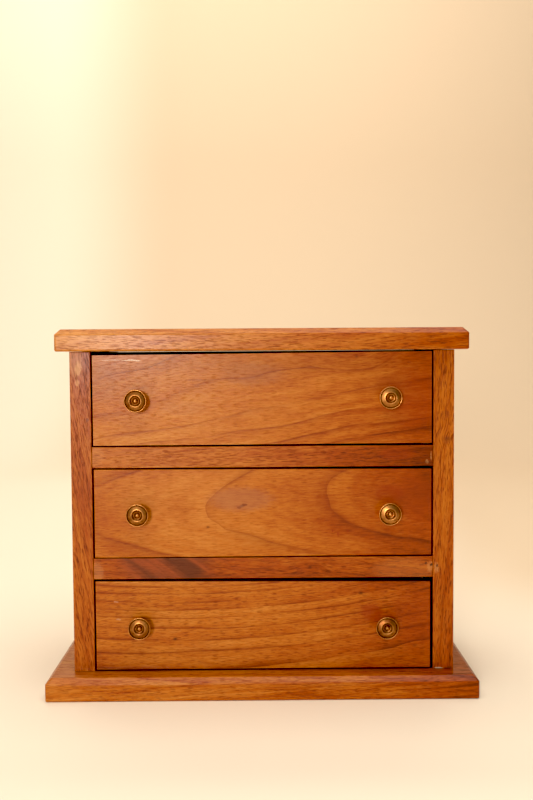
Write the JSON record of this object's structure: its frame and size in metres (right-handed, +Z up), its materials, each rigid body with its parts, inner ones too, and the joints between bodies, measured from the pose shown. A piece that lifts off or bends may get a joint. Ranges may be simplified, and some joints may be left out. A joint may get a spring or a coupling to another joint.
{
  "type": "jewellery chest with drawers",
  "caption": "Small free-standing walnut chest with chamfered base and top and lined drawers pulled by turned brass knobs.",
  "frame": {"origin": "on the base board's flat underside, where the chest rests, midway between the two sides of the case", "axes": "+Z up; +X to the viewer's right and the longest extent; -Y towards the viewer, the way the drawers open"},
  "size_m": [0.384, 0.1938, 0.3285],
  "materials": {
    "walnut": "oiled and varnished, semi-gloss, reddish orange-brown",
    "back_ply": "stained plywood, satin",
    "drawer_maple": "planed pale hardwood, unfinished",
    "birch_ply": "thin birch plywood, unfinished",
    "beech_dowel": "plain turned beech",
    "green_felt": "short wool felt",
    "aged_brass": "turned and aged, darker in the grooves",
    "zinc_steel": "zinc plated"
  },
  "bodies": {
    "case": {"base_board": "walnut", "top_board": "walnut", "left_side": "walnut", "right_side": "walnut", "lower_rail": "walnut", "upper_rail": "walnut", "back_panel": "back_ply", "lower_left_runner": "drawer_maple", "lower_right_runner": "drawer_maple", "upper_left_runner": "drawer_maple", "upper_right_runner": "drawer_maple", "bottom_left_stop": "drawer_maple", "bottom_right_stop": "drawer_maple", "middle_left_stop": "drawer_maple", "middle_right_stop": "drawer_maple", "top_left_stop": "drawer_maple", "top_right_stop": "drawer_maple", "left_front_dowel": "beech_dowel", "left_rear_dowel": "beech_dowel", "right_front_dowel": "beech_dowel", "right_rear_dowel": "beech_dowel", "left_front_base_screw": "zinc_steel", "left_rear_base_screw": "zinc_steel", "right_front_base_screw": "zinc_steel", "right_rear_base_screw": "zinc_steel", "left_lower_back_screw": "aged_brass", "left_upper_back_screw": "aged_brass", "right_lower_back_screw": "aged_brass", "right_upper_back_screw": "aged_brass"},
    "bottom_drawer": {"bottom_drawer_front": "walnut", "bottom_drawer_left_side": "drawer_maple", "bottom_drawer_right_side": "drawer_maple", "bottom_drawer_back": "drawer_maple", "bottom_drawer_bottom": "birch_ply", "bottom_drawer_lining": "green_felt", "bottom_drawer_left_knob": "aged_brass", "bottom_drawer_right_knob": "aged_brass", "bottom_drawer_left_knob_screw": "zinc_steel", "bottom_drawer_right_knob_screw": "zinc_steel"},
    "middle_drawer": {"middle_drawer_front": "walnut", "middle_drawer_left_side": "drawer_maple", "middle_drawer_right_side": "drawer_maple", "middle_drawer_back": "drawer_maple", "middle_drawer_bottom": "birch_ply", "middle_drawer_lining": "green_felt", "middle_drawer_left_knob": "aged_brass", "middle_drawer_right_knob": "aged_brass", "middle_drawer_left_knob_screw": "zinc_steel", "middle_drawer_right_knob_screw": "zinc_steel"},
    "top_drawer": {"top_drawer_front": "walnut", "top_drawer_left_side": "drawer_maple", "top_drawer_right_side": "drawer_maple", "top_drawer_back": "drawer_maple", "top_drawer_bottom": "birch_ply", "top_drawer_lining": "green_felt", "top_drawer_left_knob": "aged_brass", "top_drawer_right_knob": "aged_brass", "top_drawer_left_knob_screw": "zinc_steel", "top_drawer_right_knob_screw": "zinc_steel"}
  },
  "joints": [
    {"name": "bottom_drawer_slide", "type": "slide", "parent": "case", "child": "bottom_drawer", "axis": [0, -1, 0], "range_m": [0, 0.12]},
    {"name": "middle_drawer_slide", "type": "slide", "parent": "case", "child": "middle_drawer", "axis": [0, -1, 0], "range_m": [0, 0.12]},
    {"name": "top_drawer_slide", "type": "slide", "parent": "case", "child": "top_drawer", "axis": [0, -1, 0], "range_m": [0, 0.12]}
  ]
}
